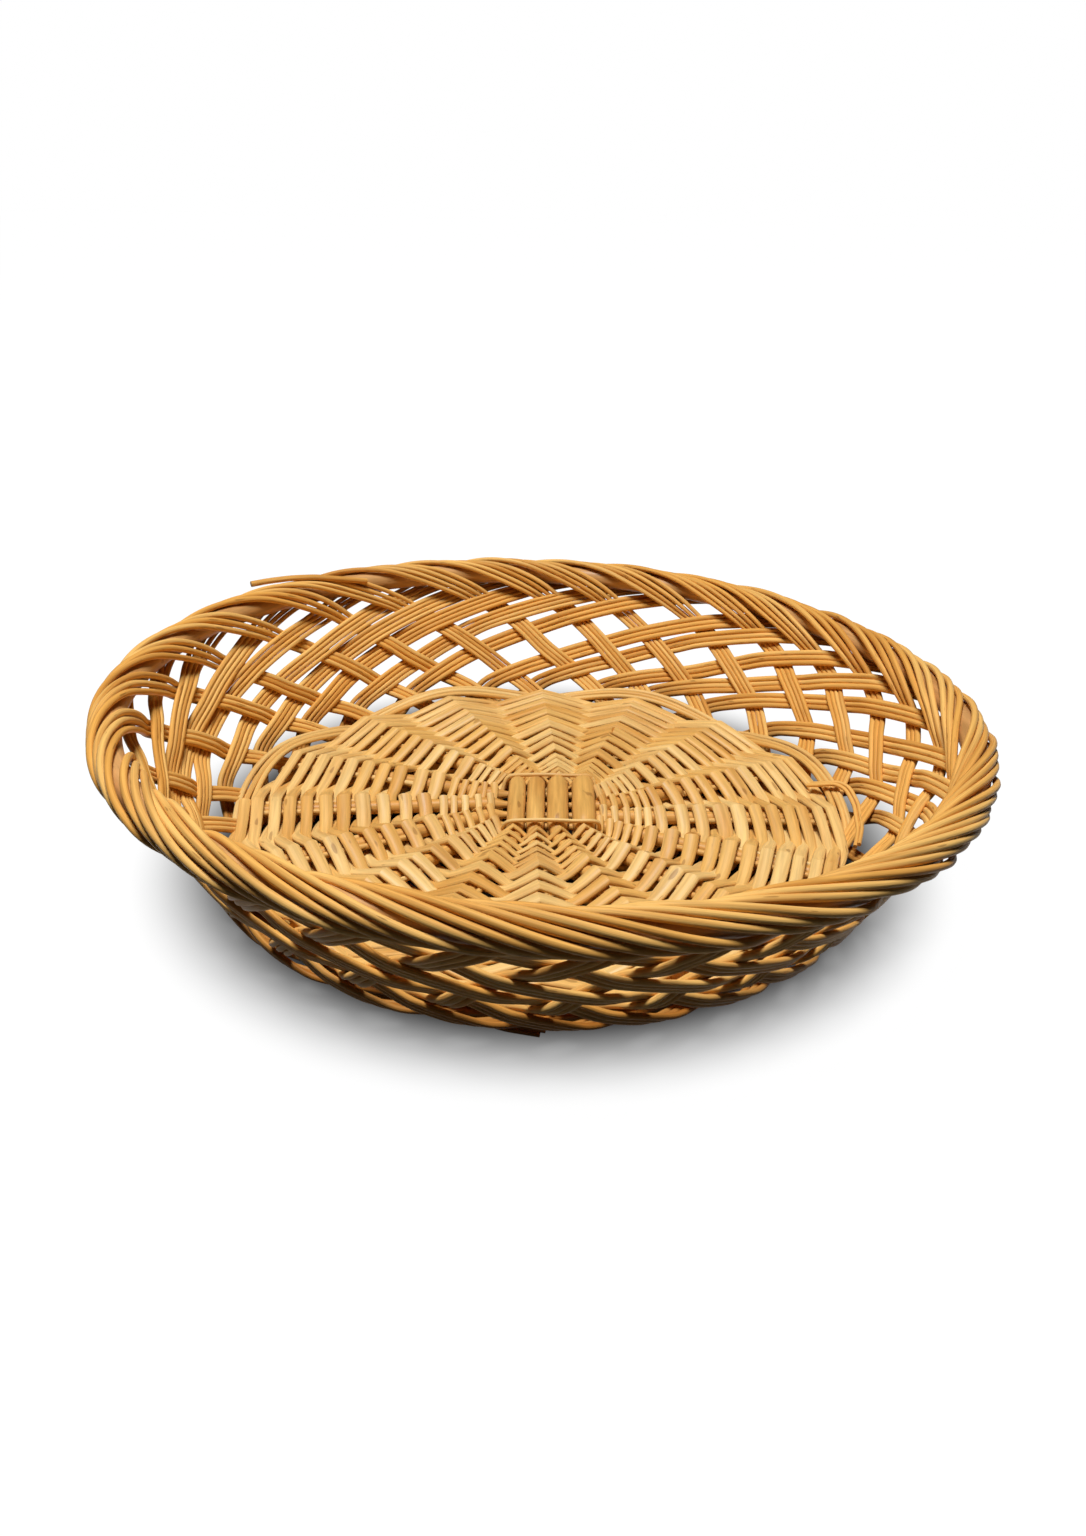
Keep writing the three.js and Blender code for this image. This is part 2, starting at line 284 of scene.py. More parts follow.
def buildReedGroup():
    tree = bpy.data.node_groups.new("peeledReed", "ShaderNodeTree")
    number, vector, colour = "NodeSocketFloat", "NodeSocketVector", "NodeSocketColor"
    for name, kind in (("Along", number), ("Turn", vector), ("Tone", number), ("Footshade", number),
                       ("Deep", colour), ("Body", colour), ("Pale", colour)):
        tree.interface.new_socket(name, in_out="INPUT", socket_type=kind)
    for name, kind in (("Colour", colour), ("Rough", number), ("Height", number)):
        tree.interface.new_socket(name, in_out="OUTPUT", socket_type=kind)
    given = addNode(tree, "NodeGroupInput", (-1400, 0))
    handed = addNode(tree, "NodeGroupOutput", (1000, 0))
    along, turn, tone = given.outputs["Along"], given.outputs["Turn"], given.outputs["Tone"]

    def rodNoise(y, length, seed, around, detail):
        start = mathNode(tree, (-1150, y), "MULTIPLY", tone, seed)
        run = mathNode(tree, (-1000, y), "MULTIPLY_ADD", along, 1 / length)
        tree.links.new(start, run.node.inputs[2])
        wide = addNode(tree, "ShaderNodeVectorMath", (-1000, y - 160), operation="SCALE")
        tree.links.new(turn, wide.inputs[0])
        wide.inputs["Scale"].default_value = around
        split = addNode(tree, "ShaderNodeSeparateXYZ", (-850, y - 160))
        tree.links.new(wide.outputs[0], split.inputs[0])
        spot = addNode(tree, "ShaderNodeCombineXYZ", (-700, y))
        tree.links.new(run, spot.inputs[0])
        tree.links.new(split.outputs[0], spot.inputs[1])
        tree.links.new(split.outputs[1], spot.inputs[2])
        noise = addNode(tree, "ShaderNodeTexNoise", (-550, y))
        noise.inputs["Scale"].default_value = 1.0
        noise.inputs["Detail"].default_value = detail
        noise.inputs["Roughness"].default_value = 0.6
        tree.links.new(spot.outputs[0], noise.inputs["Vector"])
        return noise.outputs[0]

    fibres = rodNoise(500, reedLook["fibreLength"], 61.7, reedLook["fibresRound"], 3)
    mottle = rodNoise(100, reedLook["mottleLength"], 23.3, reedLook["mottleRound"], 2)
    scars = rodNoise(-300, reedLook["scarLength"], 141.1, reedLook["scarsRound"], 0)

    own = mixColour(tree, (-250, 100), tone, given.outputs["Body"], given.outputs["Pale"])
    deepen = mapNode(tree, (-250, 300), mottle, *reedLook["mottleRange"], 0.0, reedLook["mottleMost"])
    mottled = mixColour(tree, (0, 100), deepen, own, given.outputs["Deep"])
    shade = mapNode(tree, (-250, 500), fibres, *reedLook["fibreRange"], *reedLook["fibreShade"])
    grey = addNode(tree, "ShaderNodeCombineColor", (0, 500))
    for socket in grey.inputs:
        tree.links.new(shade, socket)
    grained = mixColour(tree, (250, 200), 1.0, mottled, grey.outputs[0], "MULTIPLY")
    # painted shade: the colour is darkened on the outside of the wall towards the foot
    footShading = mixColour(tree, (250, 700), given.outputs["Footshade"], (1, 1, 1, 1), reedLook["footShaded"])
    grained = mixColour(tree, (400, 400), 1.0, grained, footShading, "MULTIPLY")
    scarMask = mapNode(tree, (-250, -300), scars, *reedLook["scarRange"], 0.0, reedLook["scarMost"])
    marked = mixColour(tree, (500, 100), scarMask, grained, reedLook["scarColour"])
    tree.links.new(marked, handed.inputs["Colour"])
    rough = mapNode(tree, (500, -150), fibres, *reedLook["fibreRange"], *reedLook["rough"])
    tree.links.new(rough, handed.inputs["Rough"])
    raised = mathNode(tree, (500, -350), "SUBTRACT", fibres, scarMask)
    tree.links.new(raised, handed.inputs["Height"])
    return tree


reedGroup = buildReedGroup()


def reedMaterial(name, deep, body, pale, shine=0.3):
    material = bpy.data.materials.new(name)
    material.use_nodes = True
    tree = material.node_tree
    shader = tree.nodes["Principled BSDF"]
    reed = addNode(tree, "ShaderNodeGroup", (-350, 200), node_tree=reedGroup)
    for key, place in (("along", 400), ("turn", 200), ("tone", 0), ("footshade", -200)):
        mark = addNode(tree, "ShaderNodeAttribute", (-650, place), attribute_name=key)
        value = mark.outputs["Vector" if key == "turn" else "Fac"]
        tree.links.new(value, reed.inputs[key.capitalize()])
    for key, colour in (("Deep", deep), ("Body", body), ("Pale", pale)):
        reed.inputs[key].default_value = (*colour, 1)
    bump = addNode(tree, "ShaderNodeBump", (-150, -200))
    bump.inputs["Strength"].default_value = reedLook["bump"]
    bump.inputs["Distance"].default_value = reedLook["bumpHeight"]
    tree.links.new(reed.outputs["Height"], bump.inputs["Height"])
    tree.links.new(reed.outputs["Colour"], shader.inputs["Base Color"])
    tree.links.new(reed.outputs["Rough"], shader.inputs["Roughness"])
    tree.links.new(bump.outputs["Normal"], shader.inputs["Normal"])
    shader.inputs["Specular IOR Level"].default_value = shine
    return material


wallReed = reedMaterial("wallReed",
    (0.58, 0.235, 0.038), (0.82, 0.415, 0.092), (0.92, 0.56, 0.175), 0.09)
hoopReed = reedMaterial("hoopReed",
    (0.46, 0.20, 0.05), (0.60, 0.31, 0.10), (0.66, 0.38, 0.15))
# painted shade: the foot core is a darker copy of the wall reed, standing in for the shade under the
# flared wall
shadedFootReed = reedMaterial("shadedFootReed",
    (0.32, 0.125, 0.022), (0.47, 0.22, 0.045), (0.56, 0.30, 0.08), 0.06)
weaverReed = reedMaterial("weaverReed",
    (0.64, 0.295, 0.057), (0.81, 0.465, 0.128), (0.90, 0.615, 0.24))
stickReed = reedMaterial("stickReed",
    (0.56, 0.25, 0.05), (0.72, 0.37, 0.085), (0.80, 0.46, 0.13))
print("materials ready")


# wall bundles: from the foot up the outside, over the rim and down the inside

bundle = {
    "thick": {"rods": 3, "radius": 1.25, "gap": 2.26},  # gap between rod centres, side by side
    "thin": {"rods": 4, "radius": 1.02, "gap": 1.85},
    "thinOnes": (11, 12, 13, 14, 15, 16, 17),
    "slimFrom": 18,  # from here round to slimTo the rising legs are drawn tighter
    "slimTo": 2,
    "slim": 0.8,
    "slimThick": 0.7,
    "taper": (1.04, 0.95),
    "levelStep": 0.122,
    "downSweep": 34.0,
    "overSweep": 28.6,
    "downInside": [1, -1, 1, 1, -1, -1, 1],
    "layer": 1.3,
    "topLead": 5.0,  # degrees by which a falling leg lies flatter just inside the rim
    "topFrom": 0.66,
    "wallFrom": 0.07,  # shares of the wall where a bundle comes up from the foot,
    "wallTop": 0.995,  # turns over the rim
    "wallEnd": 0.04,  # and ends its way down
    "fanFrom": 0.9,  # a rising leg spreads and leans out from here up
    "outFrom": 0.85,
    "closeFrom": 0.35,  # share of the roll from which the rods close up again
    "closeTo": 0.8,  # a falling leg has closed up and leant back to the wall from here down
    "backTo": 0.77,
    "tuck": 4.2,  # falling legs come in to the edge of the base
    "tuckFrom": 0.26,
    "tuckOver": 0.22,
    "tails": ((110.5, 2, 10.3), (104.5, 5, 9.9), (99, 8.5, 9.6)),  # radius, degrees on, height
    "rollRadius": 6.0,
    "shingle": 0.42,  # on the rim each rod lies this much prouder than the one before
    "rimThin": 1.02,
    "drawnIn": 0.58,  # how far a bundle has closed up again inside the rim
    "rimSpread": 13.0,  # degrees that the rods of a bundle take up on the rim
    "kinkShare": 0.21,  # below this a rising bundle stands steeper
    "kinkRate": 0.45,
    "frontMiddle": 280.0,  # bundles round here run straight down to the foot
    "frontFrom": 0.35,
    "frontOver": 0.3,
    "footRadius": 103.8,
    "footHeight": 4.75,
    "footWide": 5.3,
    "footTall": 3.35,
    "footTurns": (-205, 30),  # from inside the foot, under it and up its outside
    "footFans": (4.4, 2.8),
    "footFrom": 0.05,
    "footSweep": 30.0,
    "footLead": 13.0,  # degrees from the foot to where a bundle reaches the wall
    "rodStep": 2.2,
    "outsidePart": 0.45,  # of a rod's length
    "footShadeFrom": 7.0,  # painted shade darkens the outside in full up to this height and fades out above it
    "footShadeOver": 22.0,
}
legSum = spacing / bundle["levelStep"]
upSweep = legSum - bundle["downSweep"]
levels = len(bundle["downInside"])
firstLevel = 1 + bundle["overSweep"] / legSum - (levels + 2) * bundle["levelStep"]

# woven by hand: how many degrees each bundle strays, at four heights rising, then four falling
risingHeights = (0.2, 0.42, 0.62, 0.82)
fallingHeights = (0.2, 0.45, 0.7, 0.95)
strays = (
    (0.0, 0.0, 0.0, 0.0, 0.0, 0.0, 0.0, 0.0),
    (2.9, 4.1, 2.3, 1.8, 0.0, 0.0, 0.0, 0.0),
    (1.1, 2.3, 4.2, 4.2, 0.0, 0.0, 0.0, 0.0),
    (0.5, -1.2, 2.2, 4.2, 0.0, 0.0, 0.0, 0.0),
    (1.3, -0.1, -0.5, 1.8, 0.0, 0.0, 0.0, 0.0),
    (3.6, 4.2, 4.2, 2.8, 0.0, 0.0, 0.0, 0.0),
    (2.8, 0.7, 1.8, 4.0, 0.0, 0.0, 0.0, 0.0),
    (0.2, -2.1, 1.1, 2.1, 0.8, 1.6, 2.7, 3.7),
    (0.2, -0.1, 2.0, 1.9, 1.6, 2.3, 1.2, 2.8),
    (-2.3, -2.7, -2.1, -0.9, -2.0, -0.5, 1.6, 1.0),
    (1.5, 4.2, 4.2, 4.2, -0.2, -0.2, 0.5, 0.8),
    (0.3, 1.3, 4.0, 2.2, -0.8, -1.7, -0.4, 0.8),
    (-0.4, 1.9, 2.4, 1.0, -1.4, -2.4, -1.8, -1.3),
    (-0.3, -1.3, -0.9, -1.6, -0.9, -1.1, -0.6, -1.1),
    (1.0, -0.9, -4.2, -4.2, 0.6, 0.4, 0.7, -0.2),
    (3.4, 4.2, 1.1, -4.2, 0.5, -0.2, -1.4, -2.1),
    (-0.4, 1.6, -1.9, -2.9, -1.9, -0.6, -2.2, -1.7),
    (-2.9, -2.3, -2.6, -0.9, -0.4, -0.1, -0.1, 1.3),
    (-3.0, -4.2, -4.2, -2.2, -1.8, 0.6, -0.3, -1.5),
    (-0.6, -1.1, -2.1, -1.2, -0.9, -0.2, 0.0, 1.1),
    (0.1, 0.0, 0.2, -0.1, -0.8, 1.6, 0.8, 1.0),
    (0.3, -0.2, 0.1, 0.4, -2.3, -0.6, 0.2, 1.7),
    (-0.5, 0.6, 0.4, -0.6, 0.0, 0.7, 0.9, 1.4),
    (0.6, -0.4, -0.7, 0.2, 1.8, 2.5, 0.6, 2.0),
    (-0.3, 0.5, 0.8, 0.3, -0.1, -0.8, -1.6, -2.9),
    (0.7, -0.6, 0.2, -0.5, -1.1, -1.1, -0.9, -0.7),
    (-0.4, 0.3, -0.5, 0.6, 0.3, -0.4, 0.2, 0.5),
)


def between(heights, values, share):
    if share <= heights[0]:
        return values[0]
    for k in range(len(heights) - 1):
        if share <= heights[k + 1]:
            part = (share - heights[k]) / (heights[k + 1] - heights[k])
            return mix(values[k], values[k + 1], part)
    return values[-1]


def risingAngle(index, share):
    kink = bundle["kinkShare"]
    front = math.cos(math.radians(index * spacing - bundle["frontMiddle"]))
    rate = mix(bundle["kinkRate"], 1, ease((front - bundle["frontFrom"]) / bundle["frontOver"]))
    turned = upSweep * max(share, kink) - upSweep * rate * max(0, kink - share)
    return index * spacing - turned + between(risingHeights, strays[index][:4], share)


def fallingStray(index, share):
    flatter = max(0, share - bundle["topFrom"]) / (1 - bundle["topFrom"])
    return between(fallingHeights, strays[index][4:], share) + bundle["topLead"] * flatter ** 2


def fallingAngle(index, share):
    turned = upSweep + bundle["overSweep"] + bundle["downSweep"] * (1 - share)
    return index * spacing - turned + fallingStray(index, share)


def crossing(index, level):  # the share at which a rising bundle meets the falling one of that level
    index %= basket["stakes"]
    other = (index + levels + 2 - level) % basket["stakes"]
    even = firstLevel + level * bundle["levelStep"]
    share = even
    for _ in range(10):
        apart = between(risingHeights, strays[index][:4], share) - fallingStray(other, share)
        share = even + apart / legSum
    return share


def levelOf(crossings, share):
    if share <= crossings[0]:
        return (share - crossings[0]) / bundle["levelStep"]
    for k in range(levels - 1):
        if share <= crossings[k + 1]:
            return k + (share - crossings[k]) / (crossings[k + 1] - crossings[k])
    return levels - 1 + (share - crossings[-1]) / bundle["levelStep"]


def sideAt(level):
    sides = bundle["downInside"]
    n = math.floor(level)
    below = sides[min(max(n, 0), levels - 1)]
    above = sides[min(max(n + 1, 0), levels - 1)]
    return mix(below, above, ease((level - n - 0.2) / 0.6))


def degreesAcross(angleAt, index, share, radius):  # degrees round the wall for a millimetre across a leg
    turned = (angleAt(index, share - 0.02) - angleAt(index, share + 0.02)) / 0.04
    leg = math.atan2(slant, abs(turned) * math.radians(1) * radius)
    return 1 / (radius * math.radians(1) * math.sin(leg))


def isSlim(index):
    return index >= bundle["slimFrom"] or index < bundle["slimTo"]


def bundleRod(index, place, kind, proud, wobble):
    layer, roll, top = bundle["layer"], bundle["rollRadius"] + proud, bundle["wallTop"]
    rimPlace = place * bundle["rimSpread"] / kind["rods"]
    risingCross = [crossing(index, n) for n in range(levels)]
    fallingCross = [crossing(index - levels - 2 + n, n) for n in range(levels)]
    tight = bundle["slim"] if isSlim(index) else 1

    def beside(angleAt, share):  # degrees from the middle of the bundle to this rod
        radius = basket["wallFoot"] + flare * share
        return place * kind["gap"] * degreesAcross(angleAt, index, share, radius)

    spots = []
    footTop = risingAngle(index, bundle["footFrom"]) + bundle["footLead"]
    for j in range(19):  # round the foot, from its inside
        part = j / 18
        turn = math.radians(mix(*bundle["footTurns"], part))
        fan = place * mix(*bundle["footFans"], part) * 3 / kind["rods"]
        degrees = footTop + bundle["footSweep"] * (1 - part) + fan
        radius = bundle["footRadius"] + bundle["footWide"] * math.cos(turn)
        z = bundle["footHeight"] + bundle["footTall"] * math.sin(turn)
        spots.append(polar(radius, degrees, z))
    for j in range(91):  # up the outside
        share = mix(bundle["wallFrom"], top, j / 90)
        across = mix(beside(risingAngle, share) * tight, rimPlace, easeFrom(share, bundle["fanFrom"]))
        level = levelOf(risingCross, share - across / legSum)
        inset = mix(-layer * sideAt(level), -roll, easeFrom(share, bundle["outFrom"]))
        degrees = risingAngle(index, share) + across + wobble(share)
        spots.append(wallSpot(degrees, share, inset))
    topSweep = bundle["downSweep"] + 2 * bundle["topLead"] / (1 - bundle["topFrom"])
    upRate, downRate = (sweep / slant * math.pi * roll for sweep in (upSweep, topSweep))
    rimStart = risingAngle(index, top)
    over = rimStart - fallingAngle(index, top)
    drawnIn = place * kind["gap"] * degreesAcross(fallingAngle, index, top, basket["rimRadius"])
    drawnIn = mix(rimPlace, drawnIn, bundle["drawnIn"])
    for j in range(1, 32):  # over the rim, laid flattest on top
        part = j / 32
        turned = (3 * part ** 2 - 2 * part ** 3) * over
        turned += (part ** 3 - 2 * part ** 2 + part) * upRate + (part ** 3 - part ** 2) * downRate
        across = mix(rimPlace, drawnIn, easeFrom(part, bundle["closeFrom"]))
        degrees = rimStart - turned + across + wobble(1)
        spots.append(rollSpot(degrees, -leanAngle + 180 * part, roll))
    for j in range(66):  # down the inside
        share = mix(top, bundle["wallEnd"], j / 65)
        across = mix(beside(fallingAngle, share), drawnIn, easeFrom(share, bundle["closeTo"]))
        level = levelOf(fallingCross, share + across / legSum)
        inset = mix(layer * sideAt(level), roll, easeFrom(share, bundle["backTo"]))
        inset += bundle["tuck"] * ease((bundle["tuckFrom"] - share) / bundle["tuckOver"])
        degrees = fallingAngle(index, share) + across + wobble(2 - share)
        spots.append(wallSpot(degrees, share, inset))
    last = fallingAngle(index, 0) + beside(fallingAngle, 0)
    spots += [polar(radius, last - on, z) for radius, on, z in bundle["tails"]]  # under the base
    return relax(evenly(spots, bundle["rodStep"]), 5)


def fromHoop(p):  # distance from the hoop's centre line
    z = rimZ(math.degrees(math.atan2(p.y, p.x)))
    return math.hypot(math.hypot(p.x, p.y) - basket["rimRadius"], p.z - z)


def makeBundles():
    for index in range(basket["stakes"]):
        chance = random.Random(400 + index)
        kind = bundle["thin" if index in bundle["thinOnes"] else "thick"]
        swing = [chance.uniform(-0.25, 0.25) for _ in range(3)]
        rods = []
        for k in range(kind["rods"]):
            place = k - (kind["rods"] - 1) / 2 + chance.uniform(-0.03, 0.03)
            own = [chance.uniform(-0.07, 0.07) for _ in range(2)]
            proud = bundle["shingle"] * place * 3 / kind["rods"] + chance.uniform(-0.2, 0.25)

            def wobble(t):
                slow = swing[0] * math.sin(3 * t + swing[1] * 4)
                return slow + own[0] * math.sin(7 * t + own[1] * 60)

            points = bundleRod(index, place, kind, proud, wobble)
            thick = kind["radius"] * chance.uniform(0.96, 1.05)
            radii, footshade = [], []
            for i, p in enumerate(points):
                outside = i < len(points) * bundle["outsidePart"]
                # painted shade on the outside of the wall, darkest at the foot and gone higher up
                footShading = 1 - ease((p.z - bundle["footShadeFrom"]) / bundle["footShadeOver"])
                footshade.append(footShading if outside else 0)
                onRim = 1 - ease((fromHoop(p) - 8) / 6)
                slim = bundle["slim"] ** bundle["slimThick"] if isSlim(index) and outside else 1
                taper = mix(*bundle["taper"], i / len(points))
                radii.append(thick * taper * mix(slim, bundle["rimThin"], onRim))
            rods.append(newRod(points, radii, chance.random(), footshade=footshade))
        name = "stake_%02d" % (index + 1)
        finishPiece(layRods(name.replace("stake", "wallBundle"), rods), wallReed, "wall_reed", name)
    print("wall bundles woven:", basket["stakes"])


makeBundles()


# rim hoop and foot core

hoop = {"radius": 4.4, "unevenness": 0.12}


def makeHoop():
    chance = random.Random(7)
    phases = [chance.uniform(0, 6.28) for _ in range(4)]
    points, radii = [], []
    for step in range(180):
        degrees = step * 2
        a = math.radians(degrees)
        uneven = math.sin(3 * a + phases[0]) + 0.6 * math.sin(7 * a + phases[1])
        points.append(rollSpot(degrees, 90, 0.15 * uneven))
        radii.append(hoop["radius"] + hoop["unevenness"] * math.sin(5 * a + phases[2]))
    piece = layRods("rimHoop", [newRod(points, radii, 0.5, True)], 14)
    finishPiece(piece, hoopReed, "hoop_rod", "rim_hoop")
    print("rim hoop bent")


makeHoop()

footCore = {"offsets": [-2.5, 0.0, 2.5], "radius": 1.75}


def makeFoot():
    chance = random.Random(11)
    rods = []
    for offset in footCore["offsets"]:
        phase = chance.uniform(0, 6.28)
        points = []
        for step in range(160):
            a = math.radians(step * 2.25)
            radius = bundle["footRadius"] + offset + 0.25 * math.sin(5 * a + phase)
            z = bundle["footHeight"] + 0.2 * math.sin(7 * a + phase)
            points.append(polar(radius, step * 2.25, z))
        rods.append(newRod(points, footCore["radius"], chance.random(), True))
    finishPiece(layRods("footCore", rods), shadedFootReed, "foot_reed", "foot_ring")
    print("foot core laid")


makeFoot()


# base: crossed sticks, binding and the paired weave

base = {
    "height": sum(corner.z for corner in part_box("through_stick_1")) / 2 / mm,
    "fan": 11.75,  # degrees that the rays swing round on their way out
    "swungFrom": 22.0,
    "middle": (1.9, 4.0),  # the cross lies a little off the basket's middle
    "edgeShift": -0.9,
    "sticks": 4,
    "pitch": 8.3,
    "rays": 16,
    "slitRadii": (3.4, 3.5, 4.1, 4.5),
    "slitPlaces": (-12.2, -4.9, 3.4, 13.2),
    "slitOpen": 3.1,  # the halves of a slit stick stand this far up and down from the ray
    "openTo": 13.0,
    "closeOver": 9.0,
    "lowerHalf": 23.0,  # the lower half of a slit stick reaches this far
    "lowerEnd": 1.1,
    "throughCore": 1.3,  # a through stick's radius inside the slits
    "coreTo": 14.5,
    "coreOver": 7.0,
    "step": 1.6,
    "armStart": 20.0,
    "edge": 110.0,
    "armRadius": 2.65,
    "endRadius": 2.4,
    "taperFrom": 25.0,
    "taperOver": 85.0,
}


def settle(p):  # puts a point of the even base where the worked base has it
    r = max(math.hypot(p.x, p.y), 1)
    run = base["edge"] - base["swungFrom"]
    swung = min(1, max(0, base["swungFrom"] * (base["edge"] - r) / (run * r)))
    turned = Matrix.Rotation(math.radians(-base["fan"] * swung), 3, "Z") @ p
    outer = min(1, max(0, (r - base["swungFrom"]) / run))
    x, y = base["middle"]
    return turned + Vector((mix(x, base["edgeShift"], outer), mix(y, 0, outer), 0))


def rayAngle(n):
    return base["fan"] + 90 + (n + 0.5) * 360 / base["rays"]


def armRadius(r):
    return mix(base["armRadius"], base["endRadius"], (r - base["taperFrom"]) / base["taperOver"])


def stickPoints(order, quarter):  # one stick right across the base, its arms fanned out
    place = order - (base["sticks"] - 1) / 2
    fan = math.radians(place * 360 / base["rays"])
    across = place * base["pitch"] if quarter else base["slitPlaces"][order]
    begin = Vector((across, base["armStart"], 0))
    end = Vector((math.sin(fan), math.cos(fan), 0)) * base["edge"]
    half = [begin.lerp(end, k / 30) for k in range(31)]
    middle = [Vector((begin.x, y, 0)) for y in (0, 3, 6, 9, 12, 15, 18)]
    oneSide = middle + half
    other = [Vector((p.x, -p.y, 0)) for p in oneSide[:0:-1]]
    turned = Matrix.Rotation(math.radians(base["fan"] + 90 * quarter), 3, "Z")
    even = relax(evenly(other + oneSide, base["step"]), 3)
    return [turned @ p + Vector((0, 0, base["height"])) for p in even]


def makeSticks():
    chance = random.Random(23)
    for quarter, word in ((0, "slit"), (1, "through")):
        for order in range(base["sticks"]):
            points = stickPoints(order, quarter)
            middle = len(points) // 2
            tone = chance.random()
            phase = chance.uniform(0, 6)
            rods = []
            for half in ((1, -1) if quarter == 0 else (0,)):  # a slit stick opens round the others
                path, radii = [], []
                for i, p in enumerate(points):
                    reach = abs(i - middle) * base["step"]
                    if half == -1 and reach > base["lowerHalf"]:
                        continue
                    arm = armRadius(math.hypot(p.x, p.y)) * (1 + 0.03 * math.sin(i * 0.23 + phase))
                    spread = 1 - ease((reach - base["openTo"]) / base["closeOver"])
                    core = base["slitRadii"][order] * (1 + 0.015 * math.sin(i * 0.5 + phase))
                    core = core if half else base["throughCore"]
                    thin = base["lowerEnd"] if half == -1 else arm
                    path.append(settle(p) + Vector((0, 0, half * base["slitOpen"] * spread)))
                    radii.append(mix(core, thin, ease((reach - base["coreTo"]) / base["coreOver"])))
                rods.append(newRod(path, radii, tone))
            piece = layRods("%sStick%d" % (word, order + 1), rods, 14)
            finishPiece(piece, stickReed, "base_stick", "%s_stick_%d" % (word, order + 1))
    print("base sticks crossed")


makeSticks()

weave = {
    "start": 21.0,
    "end": 112.5,
    "thinUntil": 42.0,
    "thinPitch": 4.0,
    "innerPitch": 8.4,
    "outerPitch": 5.2,
    "cross": 1.6,  # how far the pair move apart where they twist
    "stand": 0.9,  # strokes stand off the rays, and sag between them
    "firstStand": 0.2,
    "sag": 1.4,
    "squareOver": 13.0,  # the first rounds follow the square cross
    "squareSize": 0.92,
    "squareCorner": 0.55,
    "wide": 5.4,
    "tall": 3.0,
    "thinSize": 0.52,
    "edgeSize": 0.84,
    "edgeFrom": 70.0,
    "edgeOver": 40.0,
    "rodLength": (420, 760),
}


def pitchAt(radius):
    if radius < weave["thinUntil"]:
        return weave["thinPitch"]
    part = (radius - weave["thinUntil"]) / (weave["end"] - weave["thinUntil"])
    return mix(weave["innerPitch"], weave["outerPitch"], part)


def weaverPath(second, chance):
    steps = 8  # for each ray
    half = math.pi / base["rays"]
    spots, sizes = [], []
    radius, t = weave["start"], 0
    sign = -1 if second else 1
    phases = [chance.uniform(0, 6) for _ in range(3)]
    while radius < weave["end"]:
        n = t / steps
        down = abs(n % 2 - 1) * 2 - 1  # 1 over even rays, -1 under odd ones
        size = mix(weave["thinSize"], 1, ease((radius - weave["thinUntil"] + 3) / 6))
        size *= mix(1, weave["edgeSize"], ease((radius - weave["edgeFrom"]) / weave["edgeOver"]))
        stand = mix(weave["firstStand"], weave["stand"], ease((radius - 30) / 60))
        lift = armRadius(radius) + weave["tall"] / 2 * size + stand
        z = sign * lift * down - weave["sag"] * (1 - abs(down)) * ease((radius - 25) / 20)
        uneven = 0.35 * math.sin(1.7 * n + phases[0]) + 0.3 * math.sin(0.61 * n + phases[1])
        swung = sign * weave["cross"] * math.sin(math.pi * n) + uneven * size
        # straight from gap to gap, as seen from above
        chord = math.cos(half) / math.cos(half * (2 * ((n + 0.5) % 1) - 1))
        a = math.radians(rayAngle(-n) - base["fan"])
        square = weave["squareSize"] / max(abs(math.cos(a)), abs(math.sin(a))) ** weave["squareCorner"]
        early = 1 - ease((radius - weave["start"]) / weave["squareOver"])
        reach = radius * mix(mix(1, chord * 1.006, 0.8), square, early) + swung * size
        flat = polar(reach, rayAngle(-n), base["height"] + z + 0.9 * early * sign * down)
        spots.append(settle(flat))
        sizes.append(size * mix(0.9, 1.04, abs(down) ** 0.6))
        radius += pitchAt(radius) / base["rays"] / steps
        t += 1
    return spots, sizes


def makeWeavers():
    profile = flatProfile(weave["wide"], weave["tall"], 16)
    for second, node in ((False, "weaver_a"), (True, "weaver_b")):
        chance = random.Random(31 + second)
        spots, sizes = weaverPath(second, chance)
        rods, i = [], 0
        while i < len(spots) - 8:
            length, j = 0, i
            want = chance.uniform(*weave["rodLength"]) * mix(0.5, 1, sizes[i])
            while j < len(spots) - 1 and length < want:
                length += (spots[j + 1] - spots[j]).length
                j += 1
            if len(spots) - j < 40:
                j = len(spots) - 1
            thick = chance.uniform(0.93, 1.06)
            points = spots[i:j + 1]
            n = len(points)
            radii = [sizes[i + k] * thick * mix(1.05, 0.93, k / n) for k in range(n)]
            rods.append(newRod(points, radii, chance.random()))
            i = j
        piece = layRods("weaver" + node[-1].upper(), rods, 16, profile, "Z_UP", 27)
        finishPiece(piece, weaverReed, "weaver_reed", node)
    bpy.data.objects.remove(profile)
    print("base weave paired")


makeWeavers()

edgeRods = {
    "over": (0, -2, 2, -4),  # rays that an arc of rods passes over
    "half": 1.15,  # how many rays it spans to each side
    "rods": 3,
    "radius": 1.1,
    "inner": 113.4,
    "step": 2.15,
    "high": 0.6,
    "wave": 3.2,
    "climb": 0.45,
}


